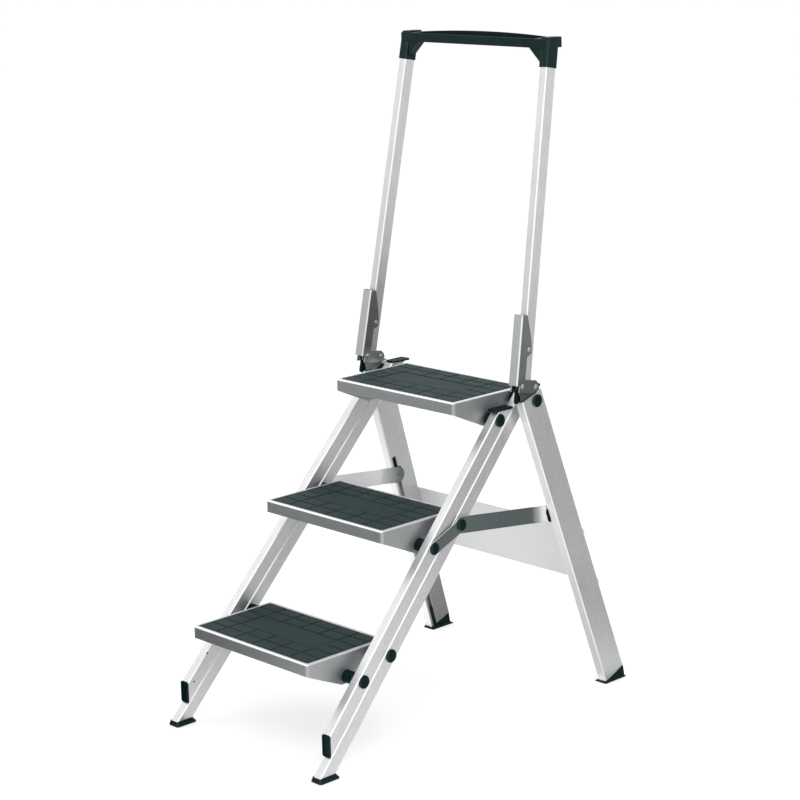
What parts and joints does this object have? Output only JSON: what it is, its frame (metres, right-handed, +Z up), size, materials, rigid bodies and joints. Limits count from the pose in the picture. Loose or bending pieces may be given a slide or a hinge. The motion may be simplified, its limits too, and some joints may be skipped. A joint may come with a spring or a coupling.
{
  "type": "folding step stool",
  "caption": "Folding step stool with rubber-matted treads on paired side rails, slotted box-section rear legs and a hinged handrail with a tray handle.",
  "frame": {"origin": "on the floor, midway between the sides and midway between the front toes and the rear heels", "axes": "+Z up, +Y from the front edge of the steps to the rear legs, +X to the right seen from the front"},
  "size_m": [0.571, 0.8776, 1.424],
  "materials": {
    "tube_aluminium": "brushed satin aluminium box tube",
    "step_aluminium": "satin pressed sheet with a bright rim",
    "panel_aluminium": "satin sheet with folded hems",
    "mat_rubber": "matt slate rubber with raised tiles",
    "handle_plastic": "fine grained moulded plastic",
    "black_plastic": "satin black moulding",
    "foot_rubber": "matt black moulded rubber",
    "strut_steel": "dark grey satin coated steel strip",
    "bracket_steel": "grey satin coated pressed steel",
    "pin_steel": "zinc plated steel"
  },
  "bodies": {
    "rear_rails": {"rear_rail_right": "tube_aluminium", "rear_rail_left": "tube_aluminium", "rear_rail_caps": "black_plastic", "front_foot_right": "foot_rubber", "front_foot_left": "foot_rubber", "leg_bolts": "pin_steel", "leg_bolt_caps": "black_plastic", "leg_bolt_spacers": "black_plastic"},
    "lower_step": {"lower_step_pan": "step_aluminium", "lower_step_mat": "mat_rubber", "lower_step_bolts": "pin_steel", "lower_step_bolt_caps": "black_plastic", "lower_step_spacers": "black_plastic"},
    "middle_step": {"middle_step_pan": "step_aluminium", "middle_step_mat": "mat_rubber", "middle_step_bolts": "pin_steel", "middle_step_bolt_caps": "black_plastic", "middle_step_spacers": "black_plastic", "strut_right": "strut_steel", "strut_left": "strut_steel", "strut_pins": "pin_steel", "strut_bushes": "black_plastic"},
    "top_step": {"top_step_pan": "step_aluminium", "top_step_mat": "mat_rubber", "top_step_bolts": "pin_steel", "top_step_bolt_caps": "black_plastic", "top_step_spacers": "black_plastic"},
    "front_rails": {"front_rail_right": "tube_aluminium", "front_rail_left": "tube_aluminium", "front_rail_caps": "black_plastic", "front_rail_end_caps": "black_plastic"},
    "rear_legs": {"rear_leg_right": "tube_aluminium", "rear_leg_left": "tube_aluminium", "rear_foot_right": "foot_rubber", "rear_foot_left": "foot_rubber", "rear_panel": "panel_aluminium", "panel_rivets": "pin_steel", "leg_bracket_right": "bracket_steel", "leg_bracket_left": "bracket_steel", "bracket_rivets": "pin_steel", "bracket_noses": "black_plastic"},
    "handrail": {"handrail_tube_right": "tube_aluminium", "handrail_tube_left": "tube_aluminium", "handle": "handle_plastic", "hand_bracket_right": "bracket_steel", "hand_bracket_left": "bracket_steel", "hand_bracket_rivets": "pin_steel", "handrail_hinge_pins": "pin_steel", "handrail_stop_pins": "pin_steel"}
  },
  "joints": [
    {"name": "rear_leg_fold", "type": "hinge", "parent": "rear_rails", "child": "rear_legs", "pos_m": [0, 0.19666, 0.6692], "axis": [-1, 0, 0], "range_deg": [0, 61.14]},
    {"name": "lower_step_fold", "type": "hinge", "parent": "rear_rails", "child": "lower_step", "pos_m": [0, -0.22734, 0.212], "axis": [-1, 0, 0], "range_deg": [0, 132.86]},
    {"name": "middle_step_fold", "type": "hinge", "parent": "rear_rails", "child": "middle_step", "pos_m": [0, -0.01534, 0.4406], "axis": [-1, 0, 0], "range_deg": [0, 132.86]},
    {"name": "top_step_fold", "type": "hinge", "parent": "rear_rails", "child": "top_step", "pos_m": [0, 0.19666, 0.6692], "axis": [-1, 0, 0], "range_deg": [0, 132.86]},
    {"name": "front_rail_swing", "type": "hinge", "parent": "middle_step", "child": "front_rails", "pos_m": [0, -0.09324, 0.4066], "axis": [1, 0, 0], "range_deg": [0, 132.86]},
    {"name": "handrail_tilt", "type": "hinge", "parent": "rear_legs", "child": "handrail", "pos_m": [0, 0.15116, 0.7075], "axis": [1, 0, 0], "range_deg": [0, 28.3]}
  ],
  "couplings": [
    {"joint": "lower_step_fold", "follows": "rear_leg_fold", "ratio": 2.1727},
    {"joint": "middle_step_fold", "follows": "rear_leg_fold", "ratio": 2.1727},
    {"joint": "top_step_fold", "follows": "rear_leg_fold", "ratio": 2.1727},
    {"joint": "front_rail_swing", "follows": "rear_leg_fold", "ratio": 2.1727}
  ]
}
